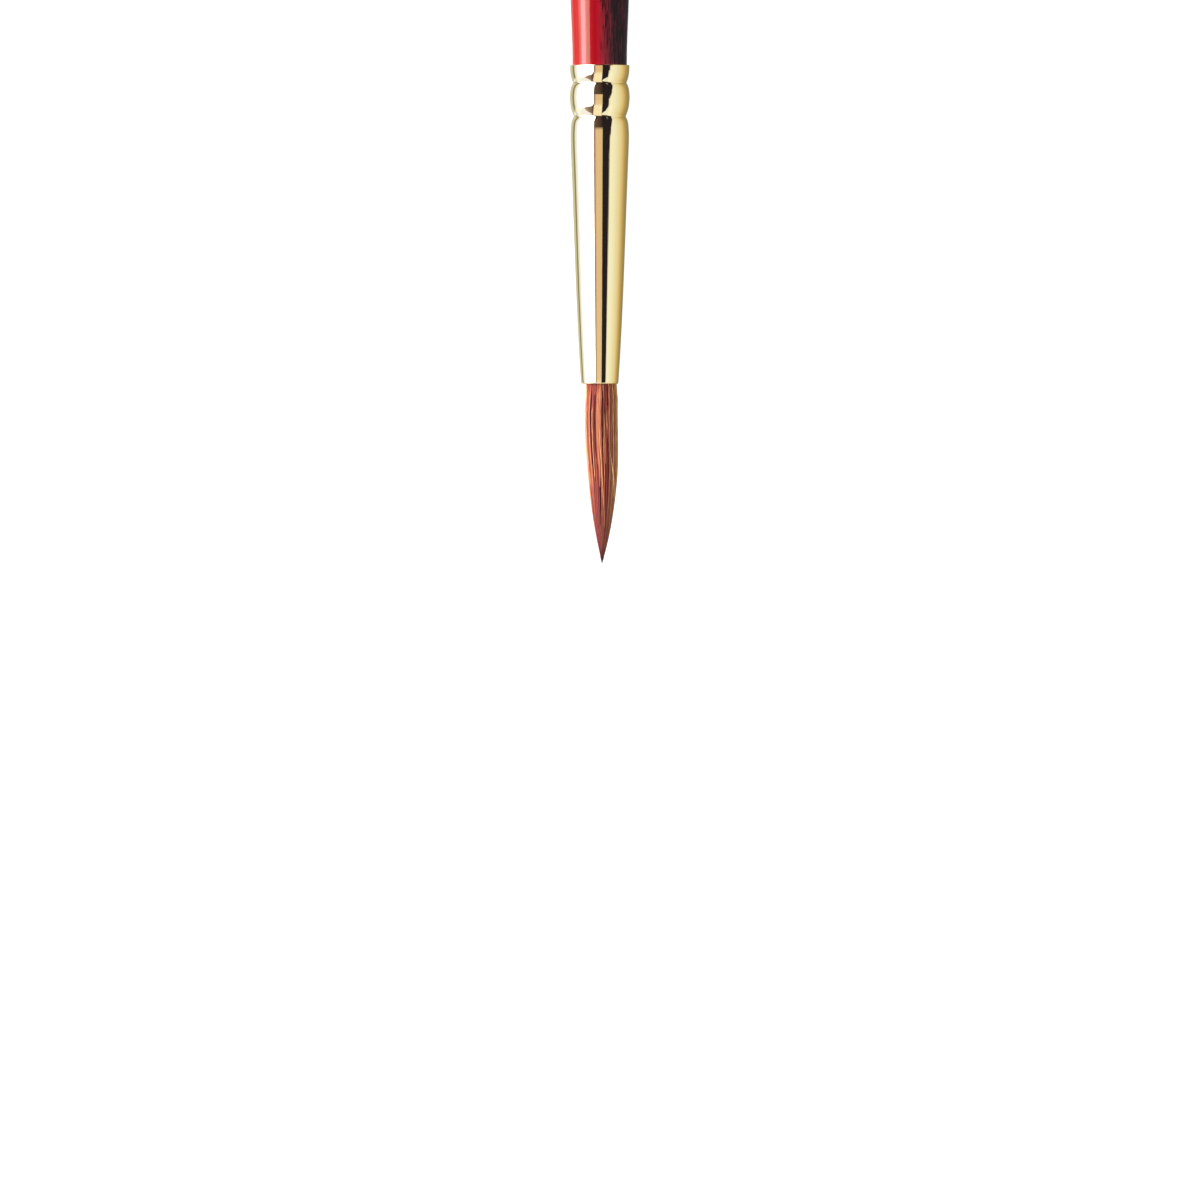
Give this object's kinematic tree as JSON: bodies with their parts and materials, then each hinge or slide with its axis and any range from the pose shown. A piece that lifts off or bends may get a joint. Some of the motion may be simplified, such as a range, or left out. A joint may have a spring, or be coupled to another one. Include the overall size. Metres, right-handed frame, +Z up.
{
  "type": "paint brush",
  "caption": "Round watercolour brush: pointed sable-coloured tuft that flexes, crimped tapering gold ferrule, glossy red lacquered wooden handle.",
  "frame": {"origin": "centre of the brush's footprint as it lies on a table, at the table's height: halfway between the tip of the hair and the end of the handle", "axes": "+Y along the brush from the tip of the hair to the tail of the handle, +Z up from the table, +X sideways"},
  "size_m": [0.0066, 0.19, 0.0065],
  "materials": {
    "red_lacquered_wood": "gloss",
    "polished_gold_plate": "polished",
    "cured_adhesive": "satin",
    "setting_resin": "gloss",
    "waxed_thread": "matte",
    "sable_hair": "satin",
    "sable_hair_root": "satin"
  },
  "bodies": {
    "handle_and_ferrule": {"handle": "red_lacquered_wood", "ferrule": "polished_gold_plate", "handle_adhesive": "cured_adhesive", "hair_root": "sable_hair_root", "binding_thread": "waxed_thread", "root_resin": "setting_resin"},
    "tuft": {"hair_core": "sable_hair", "hair_lock_01": "sable_hair", "hair_lock_02": "sable_hair", "hair_lock_03": "sable_hair", "hair_lock_04": "sable_hair", "hair_lock_05": "sable_hair", "hair_lock_06": "sable_hair", "hair_lock_07": "sable_hair", "hair_lock_08": "sable_hair", "hair_lock_09": "sable_hair", "hair_lock_10": "sable_hair", "hair_lock_11": "sable_hair", "hair_lock_12": "sable_hair", "hair_lock_13": "sable_hair", "hair_lock_14": "sable_hair"}
  },
  "joints": [
    {"name": "tuft_bend", "type": "hinge", "parent": "handle_and_ferrule", "child": "tuft", "pos_m": [0, -0.077, 0.00327], "axis": [0, 0, 1], "range_deg": [-30, 30], "stiffness_Nm_per_rad": 0.004}
  ]
}
